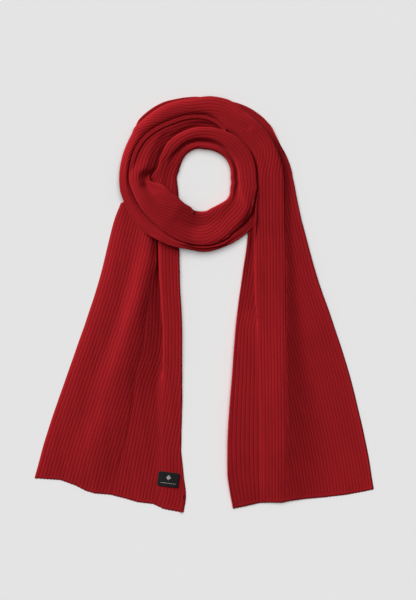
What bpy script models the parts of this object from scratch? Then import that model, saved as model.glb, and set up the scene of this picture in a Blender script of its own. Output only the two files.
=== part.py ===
# Rib-knit scarf laid flat with one turn round an open neck hole.
#
# The tables are in millimetres and the meshes in metres. +Z is up and the scarf lies on z = 0.
# Every stretch is a run of sections across the strip. A section's place is its station: degrees round NECK
# from 0 on the right side to 540 on the left side, one and a half turns on. Below 0 a station is minus the
# way down the right tail, and past 540 it is 540 plus the way down the left tail, in millimetres.
# Across the strip, reach is the distance outwards from the middle of the neck.

import math

import bmesh
import bpy

MM = 0.001
NECK = (1.65, 214.5)         # middle of the neck turn
TURN_END = 540.0             # station where the left tail leaves the turn
CLOTH = 3.0                  # one layer of the knitted cloth
GAP = 0.3                    # air between two pieces that touch
SLOT = 0.8                   # air between a fold and the layer under it
SLOT_LIP = 2.0               # a fold's rounded edge ends this far inside it
EDGE = 1.2                   # rounding of a single layer's edge
FOOT_IN = 0.6                # its underside lies this far in
WIDEST = 1.4                 # and it is widest at this height
FOLD_EDGE = 2.5              # rounding of a fold's edge
ROLL = 1.5                   # rounding of a rolled edge
DIP_IN = 7.0                 # least distance of a pocket from its inner edge
WALL_IN = 0.8                # the body of a fold starts this far in from its seat
MARGIN = 5.0                 # how far a fold of the turn lies over the shelf of the one outside it
SHELF_SEAT = 9.3             # underside of the second pass where it lies on that shelf

RIGHT_HEM, RIGHT_SEAM = -562.0, -75.0
OUTER_END = 309.0
FRONT_START, FRONT_END = 66.0, 348.0
LEFT_SEAM, LEFT_HEM = 584.0, 1109.0
SEAM_TURN = 0.4              # degrees left open between the first and second pass
RIGHT_RISE, LEFT_RISE = 33.0, 58.7    # the outer corner of each hem lies this much nearer the neck
RISE_POWER = 1.5

TAIL_STEP = 24.0             # spacing of the sections down a tail
TURN_STEP = 6.0              # and round the neck, in degrees

LABEL_AT = (-60.5, -298.0)   # middle of the label
LABEL_SIZE = (37.0, 26.0)
LABEL_THICK = 0.9
LABEL_TURN = -7.0
LABEL_CORNER = 3.0           # radius of its rounded corners
LABEL_CELLS = (8, 6)

# Fold lines and edges: (station, reach) rows.
LINES = {
    "rightInner": ((-562, 47), (-530, 41), (-500, 37.5), (-460, 37.5), (-420, 39), (-340, 45), (-260, 51),
                   (-180, 62), (-105, 75), (-75, 76.5)),
    "rightStep": ((-562, 97), (-430, 95), (-340, 91), (-240, 87), (-205, 84), (-75, 83)),
    "rightCrease": ((-562, 139), (-460, 139), (-340, 138), (-230, 137), (-140, 137), (-75, 135.5)),
    "rightOuter": ((-562, 286.7), (-500, 277.5), (-420, 261.5), (-340, 242.5), (-260, 218.5), (-180, 192),
                   (-140, 181), (-105, 172), (-75, 164)),
    "outerInner": ((-75, 76.5), (-46, 79), (-20, 83.5), (0, 83), (30, 85), (45, 83.5), (60, 83.5), (66, 91),
                   (75, 95), (90, 101), (105, 105), (120, 108), (135, 115), (150, 122), (180, 125), (195, 120),
                   (210, 115), (225, 112), (255, 112), (285, 108), (300, 98), (309, 96)),
    "outerRidge": ((-75, 135.5), (0, 135), (15, 133.5), (30, 132), (45, 132), (60, 136), (70, 138), (85, 140),
                   (105, 140), (120, 146), (138, 150.5), (150, 144.5), (165, 145), (187, 146), (203, 142),
                   (219, 140), (232, 134), (244, 130), (258, 125.5), (268, 126.5), (286, 122), (309, 117.5)),
    "outerEdge": ((-75, 164), (-40, 157), (0, 149), (15, 143), (25, 139.5), (43, 142), (60, 139), (75, 134),
                  (105, 134), (138, 144), (150, 138), (187, 139), (219, 133), (258, 120), (286, 116), (309, 111)),
    "frontInner": ((66, 83.5), (90, 83.5), (105, 85.5), (135, 86.5), (150, 84.5), (160, 89), (170, 92),
                   (183, 93.5), (193, 70), (205, 62), (216, 57), (243, 56), (252, 59), (270, 57), (285, 52),
                   (300, 51), (315, 52), (330, 50), (348, 45)),
    "frontFold": ((66, 95), (75, 99), (90, 105), (105, 109), (120, 112), (135, 119), (150, 126), (165, 128.5),
                  (180, 129), (195, 124), (210, 119), (225, 116), (255, 116), (270, 115.5), (285, 112),
                  (300, 102), (315, 98), (330, 93.5), (348, 89)),
    "frontPocket": ((66, 90), (132, 96), (150, 98), (183, 106), (205, 90), (290, 72), (315, 66), (330, 61),
                    (348, 58)),
    "innerEdge": ((348, 45), (360, 43), (375, 44.5), (405, 47), (450, 47.5), (465, 50.5), (480, 51), (495, 49.5),
                  (510, 47), (525, 46), (540, 48), (560, 46), (584, 44)),
    "innerTrough": ((348, 58), (360, 54), (390, 57), (405, 58), (420, 63), (435, 66), (450, 68.5), (495, 68.5),
                    (510, 66), (525, 66), (540, 68), (584, 72)),
    "innerFold": ((348, 89), (360, 86), (390, 89), (405, 87.5), (450, 87.5), (465, 89), (495, 90), (510, 87.5),
                  (525, 86), (545, 97), (584, 142)),
    "leftInner": ((584, 44), (645, 44), (720, 42.5), (800, 39), (920, 39), (1000, 40.5), (1040, 37), (1080, 32.5),
                  (1109, 36.5)),
    "leftFold": ((584, 79), (647, 79.5), (690, 78.5), (755, 75), (818, 71.5), (904, 72), (1109, 74)),
    "leftRidge": ((584, 113), (630, 115), (700, 119.5), (748, 135), (780, 145), (851, 162), (1109, 205)),
    "leftOuter": ((584, 143), (610, 153), (645, 162), (720, 179), (800, 202), (880, 227), (960, 251.5),
                  (1040, 274), (1109, 290)),
}

# Heights above the surface and depths of the pleats: (station, size) rows.
SIZES = {
    "rightStepTop": ((-562, 3.8), (-430, 4.5), (-300, 7), (-220, 10.8), (-140, 10.8), (-75, 11)),
    "rightStepFoot": ((-562, 3), (-150, 3), (-100, 6), (-75, 9)),
    "rightStepPleat": ((-562, 3), (-245, 3), (-205, 9), (-140, 13), (-100, 8), (-75, 3.5)),
    "rightCreaseTop": ((-562, 4.2), (-500, 7), (-440, 10.8), (-100, 10.8), (-75, 11.3)),
    "rightCreasePleat": ((-562, 3), (-510, 4), (-440, 10), (-340, 22), (-270, 26), (-140, 26), (-75, 20)),
    "rightMound": ((-562, 3.4), (-440, 4.5), (-300, 4.5), (-75, 3.6)),
    "outerShelf": ((-75, 9), (165, 9), (180, 8.8), (200, 10.5), (222, 13.5), (236, 16.5), (250, 16.5),
                   (262, 9), (275, 5), (309, 5)),
    "outerCrown": ((-75, 11.4), (0, 12), (30, 14), (90, 13), (165, 13), (180, 14), (200, 15), (222, 18),
                   (236, 20), (250, 19), (264, 11), (285, 8), (309, 7)),
    "outerTop": ((-75, 11.3), (0, 12), (30, 15.5), (60, 15), (90, 13.5), (120, 13.5), (165, 12), (180, 13),
                 (200, 14.5), (222, 17.5), (236, 19.5), (250, 18.5), (264, 10), (285, 7.5), (309, 6.5)),
    "outerPleat": ((-75, 20), (-20, 14), (20, 10), (240, 10), (262, 6), (309, 6)),
    "outerBand": ((-75, 3), (30, 4.5), (90, 5), (165, 5), (180, 8.5), (200, 10), (222, 13), (236, 16),
                  (250, 15.5), (264, 7), (285, 4), (309, 3.5)),
    "outerSeat": ((-75, 0), (164, 0), (172, 5), (200, 7), (222, 10), (236, 13), (250, 13), (262, 4), (272, 0)),
    "frontTop": ((66, 10.5), (90, 12.5), (120, 16), (150, 20), (180, 23), (216, 26), (243, 24), (270, 19),
                 (300, 17), (330, 19), (348, 20)),
    "frontInnerTop": ((66, 8.8), (152, 8.8), (160, 11), (170, 15), (183, 18.5), (205, 21), (225, 20), (250, 16),
                      (300, 13), (348, 12.5)),
    "frontPocket": ((66, 11), (270, 17), (315, 13), (330, 10), (348, 10)),
    "frontSeat": ((66, 0), (160, 0), (172, 6), (183, 12.5), (235, 13), (250, 13), (262, 6), (275, 0)),
    "innerTop": ((348, 20), (450, 21), (495, 20), (510, 17), (522, 12.2), (540, 11.5), (584, 11)),
    "innerFoldTop": ((348, 20), (450, 20.5), (495, 19.5), (510, 16.5), (522, 12), (532, 8), (545, 4), (584, 3.6)),
    "innerBand": ((348, 12.5), (450, 14), (510, 13), (525, 11.5), (584, 10.5)),
    "innerDip": ((348, 10), (450, 11), (525, 10), (584, 9.5)),
    "innerSeat": ((348, SHELF_SEAT), (516, SHELF_SEAT), (528, 0)),
    "leftFoldTop": ((584, 10.8), (860, 10.8), (940, 8), (1000, 4.4), (1109, 3.8)),
    "leftFoldPleat": ((584, 16), (700, 16), (818, 13), (900, 6), (940, 3), (1109, 3)),
    "leftHemTop": ((584, 9), (860, 9), (960, 5), (1000, 3.4), (1109, 3)),
    "leftRidge": ((584, 5), (640, 6.5), (800, 6.5), (900, 4.5), (1109, 3.2)),
}

KNIT = {"colour": (0.42, 0.012, 0.016, 1.0), "roughness": 0.92}
LABEL_CLOTH = {"colour": (0.012, 0.012, 0.014, 1.0), "roughness": 0.8}


def ease(rows, station):
    """Smooth value of (station, value) rows that never overshoots them."""
    xs = [row[0] for row in rows]
    ys = [row[1] for row in rows]
    if station <= xs[0]:
        return ys[0]
    if station >= xs[-1]:
        return ys[-1]
    slopes = [(ys[i + 1] - ys[i]) / (xs[i + 1] - xs[i]) for i in range(len(xs) - 1)]
    tangents = [slopes[0]]
    for before, after in zip(slopes, slopes[1:]):
        level = before * after <= 0
        tangents.append(0.0 if level else 2 * before * after / (before + after))
    tangents.append(slopes[-1])
    i = max(k for k in range(len(xs) - 1) if xs[k] <= station)
    span = xs[i + 1] - xs[i]
    t = (station - xs[i]) / span
    start = ys[i] * (1 + 2 * t) * (1 - t) ** 2 + tangents[i] * span * t * (1 - t) ** 2
    end = ys[i + 1] * t * t * (3 - 2 * t) - tangents[i + 1] * span * t * t * (1 - t)
    return start + end


def line(name, station):
    return ease(LINES[name], station)


def size(name, station):
    return ease(SIZES[name], station)


def mix(a, b, t):
    return a + (b - a) * t


def place(station, reach, height, inner, outer):
    """World point, in metres, of a section's (reach, height)."""
    along = (reach - inner) / (outer - inner)
    if station < 0:
        rise = RIGHT_RISE * (station / RIGHT_HEM) ** RISE_POWER * along
        x = NECK[0] + reach
        y = NECK[1] + station + rise
    elif station <= TURN_END:
        angle = math.radians(station)
        x = NECK[0] + reach * math.cos(angle)
        y = NECK[1] + reach * math.sin(angle)
    else:
        way = station - TURN_END
        rise = LEFT_RISE * (way / (LEFT_HEM - TURN_END)) ** RISE_POWER * along
        x = NECK[0] - reach
        y = NECK[1] - way + rise
    return (x * MM, y * MM, height * MM)


def rightTailSection(s):
    """One sheet with a pleated middle panel that lies on both its neighbours."""
    inner, outer = line("rightInner", s), line("rightOuter", s)
    step, crease = line("rightStep", s), line("rightCrease", s)
    step_top, foot = size("rightStepTop", s), size("rightStepFoot", s)
    crease_top = size("rightCreaseTop", s)
    step_in = step + size("rightStepPleat", s)
    crease_in = crease - size("rightCreasePleat", s)
    step_slot = foot + min(SLOT, 0.4 * (step_top - foot))
    crease_slot = CLOTH + min(SLOT, 0.4 * (crease_top - CLOTH))
    return [
        (inner + FOOT_IN, 0), (inner, WIDEST), (inner + EDGE, CLOTH), (mix(inner, step, 0.6), mix(CLOTH, foot, 0.6)),
        (step, foot), (step_in, foot), (step_in, step_slot), (step + SLOT_LIP, step_slot),
        (step, mix(step_slot, step_top, 0.5)), (step + FOLD_EDGE, step_top),
        (mix(step, crease, 0.35), mix(step_top, crease_top, 0.35) + 0.5),
        (mix(step, crease, 0.7), mix(step_top, crease_top, 0.7) + 0.5),
        (crease - FOLD_EDGE, crease_top), (crease, mix(crease_slot, crease_top, 0.5)),
        (crease - SLOT_LIP, crease_slot), (crease_in, crease_slot), (crease_in, CLOTH), (crease + SLOT_LIP, CLOTH),
        (mix(crease, outer, 0.3), CLOTH), (mix(crease, outer, 0.6), size("rightMound", s)),
        (outer - EDGE, CLOTH), (outer, WIDEST), (outer - FOOT_IN, 0),
    ]


def outerSection(s):
    """Outer fold of the turn: a shelf under its neighbour, a rounded top, and the band that it lies on."""
    inner, ridge, edge = line("outerInner", s), line("outerRidge", s), line("outerEdge", s)
    seat, shelf, band = size("outerSeat", s), size("outerShelf", s), size("outerBand", s)
    crown, top = size("outerCrown", s), size("outerTop", s)
    cover = inner + MARGIN + 0.5
    tuck = ridge - size("outerPleat", s)
    slot = band + SLOT
    return [
        (inner + FOOT_IN, seat), (inner, seat + WIDEST), (inner + EDGE, shelf), (cover, shelf),
        (mix(cover, ridge, 0.15), mix(shelf, crown, 0.6)), (mix(cover, ridge, 0.4), crown),
        (mix(cover, ridge, 0.7), mix(crown, top, 0.6)), (ridge - FOLD_EDGE, top),
        (ridge, mix(slot, top, 0.5)), (ridge - SLOT_LIP, slot), (tuck, slot), (tuck, band),
        (mix(tuck, edge, 0.5), band), (edge - EDGE, band), (edge, mix(seat, band, 0.5)), (edge - FOOT_IN, seat),
    ]


def frontSection(s):
    """Inner fold of the first pass, which crosses the front."""
    inner, fold, pocket = line("frontInner", s), line("frontFold", s), line("frontPocket", s)
    seat, top, inner_top = size("frontSeat", s), size("frontTop", s), size("frontInnerTop", s)
    margin = max(size("outerShelf", s), SHELF_SEAT - GAP if s > OUTER_END else 0) + GAP
    dip = max(min(pocket, mix(inner, fold, 0.5)), inner + DIP_IN)
    dip_height = min(size("frontPocket", s), mix(inner_top, top, 0.5))
    return [
        (inner + ROLL, seat), (inner, mix(seat, inner_top, 0.5)), (inner + ROLL, inner_top - 1),
        (inner + 5, inner_top), (mix(inner + 5, dip, 0.6), mix(inner_top, dip_height, 0.6)), (dip, dip_height),
        (mix(dip, fold, 0.3), mix(dip_height, top, 0.75)), (mix(dip, fold, 0.5), top),
        (mix(dip, fold, 0.7), top - 0.3), (fold - ROLL, mix(margin, top, 0.8)),
        (fold, mix(margin, top, 0.4)), (fold - ROLL, margin), (fold - MARGIN, margin),
        (fold - MARGIN - WALL_IN, seat),
    ]


def innerSection(s):
    """Second pass: a low band round the hole, a trough, and the rounded body outside it."""
    inner, trough, fold = line("innerEdge", s), line("innerTrough", s), line("innerFold", s)
    top, fold_top = size("innerTop", s), size("innerFoldTop", s)
    band, dip, seat = size("innerBand", s), size("innerDip", s), size("innerSeat", s)
    return [
        (inner + ROLL, 0), (inner, 0.45 * band), (inner + ROLL, band - 1), (inner + 4.5, band),
        (trough - 2, band - 0.4), (trough, dip), (trough + 2, mix(dip, top, 0.4)),
        (trough + 5.5, mix(dip, top, 0.85)), (trough + 10, top),
        (mix(trough + 10, fold, 0.5), mix(top, fold_top, 0.6)),
        (fold - 2, fold_top - 1.5), (fold, mix(seat, fold_top, 0.45)), (fold - 1.2, seat),
        (fold - MARGIN, seat), (fold - MARGIN - WALL_IN, 0),
    ]


def leftTailSection(s):
    """One sheet whose inner side is folded over on top of it."""
    inner, fold, ridge = line("leftInner", s), line("leftFold", s), line("leftRidge", s)
    outer, fold_top, hem_top = line("leftOuter", s), size("leftFoldTop", s), size("leftHemTop", s)
    fold_in = fold - size("leftFoldPleat", s)
    slot = CLOTH + min(SLOT, 0.4 * (fold_top - CLOTH))
    return [
        (inner + FOOT_IN, 0), (inner, 0.45 * hem_top), (inner + EDGE, hem_top),
        (mix(inner, fold, 0.35), mix(hem_top, fold_top, 0.7)), (fold - FOLD_EDGE, fold_top),
        (fold, mix(slot, fold_top, 0.5)), (fold - SLOT_LIP, slot), (fold_in, slot), (fold_in, CLOTH),
        (fold + SLOT_LIP, CLOTH), (mix(fold, ridge, 0.6), CLOTH), (ridge, size("leftRidge", s)),
        (mix(ridge, outer, 0.3), CLOTH + 0.3), (outer - EDGE, CLOTH), (outer, 1.4), (outer - 0.6, 0),
    ]


def stations(first, last, step):
    """First and last, and the whole steps between them, so that neighbours share their sections' planes."""
    start = math.floor(first / step) + 1
    stop = math.ceil(last / step)
    return [first] + [i * step for i in range(start, stop)] + [last]


def material(name, look):
    mat = bpy.data.materials.new(name)
    mat.use_nodes = True
    shader = mat.node_tree.nodes["Principled BSDF"]
    shader.inputs["Base Color"].default_value = look["colour"]
    shader.inputs["Roughness"].default_value = look["roughness"]
    shader.inputs["Metallic"].default_value = 0.0
    mat.diffuse_color = look["colour"]
    return mat


def addObject(name, bm, look):
    bm.normal_update()
    bmesh.ops.triangulate(bm, faces=bm.faces[:])
    bmesh.ops.recalc_face_normals(bm, faces=bm.faces[:])
    mesh = bpy.data.meshes.new(name)
    bm.to_mesh(mesh)
    bm.free()
    mesh.materials.append(material(name, look))
    mesh.shade_smooth()
    mesh.set_sharp_from_angle(angle=math.radians(50))
    bpy.context.scene.collection.objects.link(bpy.data.objects.new(name, mesh))


def loft(name, section, places):
    """Closed solid through the sections at the given stations."""
    bm = bmesh.new()
    rings = []
    for s in places:
        points = section(s)
        inner = min(p[0] for p in points)
        outer = max(p[0] for p in points)
        rings.append([bm.verts.new(place(s, reach, height, inner, outer)) for reach, height in points])
    count = len(rings[0])
    for a, b in zip(rings, rings[1:]):
        for i in range(count):
            j = (i + 1) % count
            bm.faces.new((a[i], a[j], b[j], b[i]))
    bm.faces.new(rings[0][::-1])
    bm.faces.new(rings[-1])
    addObject(name, bm, KNIT)


def leftTailHeight(x, y):
    """Top of the left tail at a point near its inner corner."""
    reach = NECK[0] - x
    way = NECK[1] - y
    station = TURN_END + way
    for _ in range(6):                 # the hem's rise shifts the station, so it is found by repetition
        along = (reach - line("leftInner", station)) / (line("leftOuter", station) - line("leftInner", station))
        rise = LEFT_RISE * ((station - TURN_END) / (LEFT_HEM - TURN_END)) ** RISE_POWER * along
        station = TURN_END + way + rise
    points = leftTailSection(station)[2:5]
    for (r0, h0), (r1, h1) in zip(points, points[1:]):
        if reach <= r1:
            return mix(h0, h1, (reach - r0) / (r1 - r0))
    return points[-1][1]


def label():
    """Thin patch on the left tail, made from the tail's own surface moved up by GAP."""
    bm = bmesh.new()
    turn = math.radians(LABEL_TURN)
    half_w, half_h = LABEL_SIZE[0] / 2, LABEL_SIZE[1] / 2
    cols, rows = LABEL_CELLS
    levels = []
    for lift in (GAP, GAP + LABEL_THICK):
        grid = []
        for i in range(cols + 1):
            for j in range(rows + 1):
                u = mix(-half_w, half_w, i / cols)
                v = mix(-half_h, half_h, j / rows)
                over_u = max(0.0, abs(u) - (half_w - LABEL_CORNER))
                over_v = max(0.0, abs(v) - (half_h - LABEL_CORNER))
                far = math.hypot(over_u, over_v)
                if far > LABEL_CORNER:
                    u -= math.copysign(over_u * (1 - LABEL_CORNER / far), u)
                    v -= math.copysign(over_v * (1 - LABEL_CORNER / far), v)
                x = LABEL_AT[0] + u * math.cos(turn) - v * math.sin(turn)
                y = LABEL_AT[1] + u * math.sin(turn) + v * math.cos(turn)
                grid.append(bm.verts.new((x * MM, y * MM, (leftTailHeight(x, y) + lift) * MM)))
        levels.append(grid)
    low, high = levels
    at = lambda i, j: i * (rows + 1) + j
    for i in range(cols):
        for j in range(rows):
            cell = (at(i, j), at(i + 1, j), at(i + 1, j + 1), at(i, j + 1))
            bm.faces.new([high[k] for k in cell])
            bm.faces.new([low[k] for k in reversed(cell)])
    rim = [at(i, 0) for i in range(cols + 1)] + [at(cols, j) for j in range(1, rows + 1)]
    rim += [at(i, rows) for i in range(cols - 1, -1, -1)] + [at(0, j) for j in range(rows - 1, 0, -1)]
    for a, b in zip(rim, rim[1:] + rim[:1]):
        bm.faces.new((low[a], low[b], high[b], high[a]))
    addObject("label", bm, LABEL_CLOTH)


def main():
    for obj in list(bpy.data.objects):
        bpy.data.objects.remove(obj)
    loft("tail_right", rightTailSection, stations(RIGHT_HEM, RIGHT_SEAM - GAP, TAIL_STEP))
    turn_start = stations(RIGHT_SEAM, 0, TURN_STEP * 2)[:-1]
    loft("loop_outer", outerSection, turn_start + stations(0, OUTER_END, TURN_STEP))
    loft("loop_front", frontSection, stations(FRONT_START, FRONT_END - SEAM_TURN, TURN_STEP))
    turn_end = stations(TURN_END, LEFT_SEAM, TURN_STEP * 2)[1:]
    loft("loop_inner", innerSection, stations(FRONT_END, TURN_END, TURN_STEP) + turn_end)
    loft("tail_left", leftTailSection, stations(LEFT_SEAM + GAP, LEFT_HEM, TAIL_STEP))
    label()


main()
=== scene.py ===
import math
from functools import partial
from types import SimpleNamespace

import bpy
import numpy as np
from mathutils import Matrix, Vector
from mathutils.bvhtree import BVHTree


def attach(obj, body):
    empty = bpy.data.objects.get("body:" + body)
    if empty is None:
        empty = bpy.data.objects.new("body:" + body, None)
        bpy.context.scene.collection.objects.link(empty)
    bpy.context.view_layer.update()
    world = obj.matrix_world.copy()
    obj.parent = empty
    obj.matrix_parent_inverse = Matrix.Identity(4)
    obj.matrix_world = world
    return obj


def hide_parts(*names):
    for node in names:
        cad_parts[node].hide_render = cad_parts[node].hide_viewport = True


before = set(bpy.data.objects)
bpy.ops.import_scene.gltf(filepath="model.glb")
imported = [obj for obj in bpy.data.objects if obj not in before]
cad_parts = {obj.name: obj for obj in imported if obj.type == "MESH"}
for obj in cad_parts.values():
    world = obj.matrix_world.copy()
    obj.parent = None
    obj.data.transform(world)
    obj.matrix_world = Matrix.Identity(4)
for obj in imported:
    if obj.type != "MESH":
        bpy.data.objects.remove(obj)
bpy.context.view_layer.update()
scene = bpy.context.scene
print("frame loaded:", ", ".join(sorted(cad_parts)))

# Tables are in millimetres, meshes in metres. A place on the scarf is its station: degrees round the neck
# from 0 on the right to 540 on the left, less than 0 for millimetres down the right tail, more than 540 for
# 540 plus the millimetres down the left tail. Reach is the distance outwards from the middle of the neck.
# A table gives {station: value}, and ease() reads it in between.
mm = 0.001
neck = (1.65, 214.5)
turnEnd = 540.0
rightHem, rightSeam, outerEnd = -562.0, -75.0, 325.0
frontStart, frontEnd, leftSeam, leftHem = 66.0, 348.0, 584.0, 1109.0

knit = {
    # rib above and groove below the middle of the surface; below 1 the groove is narrower than the rib
    "relief": {"Crest": 0.15, "Groove": 0.19, "Sharpness": 0.6},
    "sink": 0.8,  # middle of the surface under the heights in the tables
    "thickness": 2.1,
    "perRib": 8,  # columns of the mesh
    "underPerRib": 2,
    "perSpan": 8,  # samples of a section's curve between two of its points
    "rowStep": 3.1,  # rows of the mesh, mm on a tail and degrees on the turn
    "turnStep": 1.6,
    "course": 2.6,  # height of one stitch
    "easyPitch": 4.6,  # ribs closer together than this grow flatter
    "wave": 0.28,  # slight unevenness of the surface
    "fold": 1.9,  # from a layer's face to the face folded down onto it
    "edge": 3.0,  # the ribs rise over this much beside an edge
    "leastGain": 0.12,  # of the ribs, where they lie closest
    "lowest": (0.25, 0.05),  # heights that the surface and the underside stay above
    "probe": 0.4,  # the slope is measured this far to both sides
}

hemEdge = {
    "rows": (0.0, 0.5, 1.1, 1.9, 2.9, 4.0, 5.4, 7.4, 10.0),  # close together here
    "ridge": (0.25, 3.2, 1.6),  # height, place and width of the low ridge behind the cast-off edge
    "curl": (0.45, 1.8),  # the edge itself curls down
    "ribsLeft": 0.35,  # strength of the ribs at the edge
    "ribsRise": (3.0, 8.0),
    "scallop": (0.7, 3.5),  # each rib's end stands out, and how far back that shows
}

camera = {
    "at": (6.45, 6.8),  # middle of the picture, mm
    "distance": 3.0,  # m
    "frameHeight": 1.02,  # m
}


def mix(a, b, t):
    return a + (b - a) * t


def blend(before, after, t):
    # points part of the way from one list to another
    return [(mix(p[0], q[0], t), mix(p[1], q[1], t)) for p, q in zip(before, after)]


def smooth(value, low, high):
    t = min(1.0, max(0.0, (value - low) / (high - low)))
    return t * t * (3 - 2 * t)


def ease(rows, station):
    # smooth value between the rows of a table, never past them
    xs, ys = list(rows), list(rows.values())
    if station <= xs[0]:
        return ys[0]
    if station >= xs[-1]:
        return ys[-1]
    slopes = [(ys[i + 1] - ys[i]) / (xs[i + 1] - xs[i]) for i in range(len(xs) - 1)]
    tangents = [slopes[0]]
    for before, after in zip(slopes, slopes[1:]):
        tangents.append(0.0 if before * after <= 0 else 2 * before * after / (before + after))
    tangents.append(slopes[-1])
    i = max(k for k in range(len(xs) - 1) if xs[k] <= station)
    span = xs[i + 1] - xs[i]
    t = (station - xs[i]) / span
    start = ys[i] * (1 + 2 * t) * (1 - t) ** 2 + tangents[i] * span * t * (1 - t) ** 2
    end = ys[i + 1] * t * t * (3 - 2 * t) - tangents[i + 1] * span * t * t * (1 - t)
    return start + end


def valuesAt(piece, station):
    # a piece's values at a station; those that aren't tables stay as they are
    return SimpleNamespace(**{key: ease(value, station) if isinstance(value, dict) else value
                              for key, value in piece.items()})


def smoothPath(points):
    # centripetal curve through the points; point k is sample k * perSpan
    p = np.array(points, float)
    p = np.vstack([2 * p[0] - p[1], p, 2 * p[-1] - p[-2]])
    gap = np.maximum(np.linalg.norm(np.diff(p, axis=0), axis=1), 1e-3) ** 0.5
    a, b, c = gap[:-2, None], gap[1:-1, None], gap[2:, None]
    p0, p1, p2, p3 = p[:-3], p[1:-2], p[2:-1], p[3:]
    m1 = b * ((p1 - p0) / a - (p2 - p0) / (a + b) + (p2 - p1) / b)
    m2 = b * ((p2 - p1) / b - (p3 - p1) / (b + c) + (p3 - p2) / c)
    t = np.arange(knit["perSpan"])[None, :, None] / knit["perSpan"]
    spans = ((2 * t ** 3 - 3 * t ** 2 + 1) * p1[:, None] + (t ** 3 - 2 * t ** 2 + t) * m1[:, None]
             + (3 * t ** 2 - 2 * t ** 3) * p2[:, None] + (t ** 3 - t ** 2) * m2[:, None])
    return np.vstack([spans.reshape(-1, 2), p[-2:-1]])


class Row:
    # one section across the strip: its curve, and the rib that lies at chosen points of it
    def __init__(self, station, points, pitch):
        self.station, self.pitch = station, pitch
        self.path = smoothPath(points)
        self.way = np.concatenate([[0.0], np.cumsum(np.linalg.norm(np.diff(self.path, axis=0), axis=1))])
        self.anchors = []
        self.inner = min(p[0] for p in points)
        self.outer = max(p[0] for p in points)

    def wayOf(self, index):
        return self.way[int(round(index * knit["perSpan"]))]

    def ribsIn(self, i, j):
        # ribs between two points, at the row's pitch
        return (self.wayOf(j) - self.wayOf(i)) / self.pitch

    def pin(self, ribs, shift=0.0):
        self.anchors += [(self.wayOf(index) + shift, rib) for index, rib in ribs.items()]


hemRise = {
    "right": {"rise": 33.0, "length": 562.0, "shape": {
        0: 0, .07: .1, .19: .3, .26: .32, .35: .31, .4: .4, .51: .5, .65: .58, .8: .71, .93: .88, 1: 1}},
    "left": {"rise": 58.7, "length": 569.0, "shape": {
        0: 0, .137: .113, .204: .252, .312: .31, .385: .406, .493: .525, .6: .562, .657: .638, .727: .794,
        .828: .948, 1: 1}},
    "power": 1.5,  # how the rise grows down a tail
    "shapePower": 6.0,  # how late the hem's own waviness sets in
}


def riseOf(side, way, along):
    tail = hemRise[side]
    part = way / tail["length"]
    shares = np.interp(along, list(tail["shape"]), list(tail["shape"].values()))
    weight = min(1.0, part) ** hemRise["shapePower"]
    return tail["rise"] * part ** hemRise["power"] * (along + (shares - along) * weight)


def outwards(station):
    # world direction that reach is measured in
    if 0 <= station <= turnEnd:
        return math.cos(math.radians(station)), math.sin(math.radians(station))
    return (1.0 if station < 0 else -1.0), 0.0


def place(row, reach, height):
    # world places, in metres, of arrays of (reach, height) on a row
    outX, outY = outwards(row.station)
    down = max(-row.station, row.station - turnEnd, 0.0)
    y = neck[1] + reach * outY - down
    if down > 0:
        along = (reach - row.inner) / (row.outer - row.inner)
        y = y + riseOf("right" if row.station < 0 else "left", down, along)
    return np.stack([neck[0] + reach * outX, y, height], axis=-1) * mm


def unevenness(ribs, station):
    a = np.sin(0.83 * ribs + 0.031 * station + 1.3) + 0.8 * np.sin(0.41 * ribs - 0.047 * station + 4.1)
    b = 0.7 * np.sin(1.7 * ribs + 0.093 * station + 2.2) + 0.5 * np.sin(0.23 * ribs + 0.117 * station)
    return (a + b) / 3


def runOf(station):
    # running length of the strip in mm, at the middle of the turn
    return station if station < 0 else min(station, turnEnd) * 1.9 + max(0.0, station - turnEnd)


def addNode(tree, kind, inputs=None, **settings):
    node = tree.nodes.new(kind)
    for name, value in settings.items():
        setattr(node, name, value)
    for key, value in (inputs or {}).items():
        if isinstance(value, bpy.types.NodeSocket):
            tree.links.new(value, node.inputs[key])
        else:
            node.inputs[key].default_value = value
    return node


def compute(tree, operation, *values):
    return addNode(tree, "ShaderNodeMath", dict(enumerate(values)), operation=operation).outputs[0]


def newTree(name, kind, inputs, outputs):
    # a node group with these named sockets, and what goes in and comes out
    tree = bpy.data.node_groups.new(name, kind + "NodeTree")
    for direction, sockets in (("INPUT", inputs), ("OUTPUT", outputs)):
        for key, form in sockets.items():
            tree.interface.new_socket(key, in_out=direction, socket_type="NodeSocket" + form)
    return tree, addNode(tree, "NodeGroupInput").outputs, addNode(tree, "NodeGroupOutput").inputs


def endTree(tree, geometry, finish, result):
    real = addNode(tree, "GeometryNodeRealizeInstances", {0: geometry}).outputs[0]
    finished = addNode(tree, "GeometryNodeSetMaterial", {"Geometry": real, "Material": finish})
    tree.links.new(finished.outputs[0], result)


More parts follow.
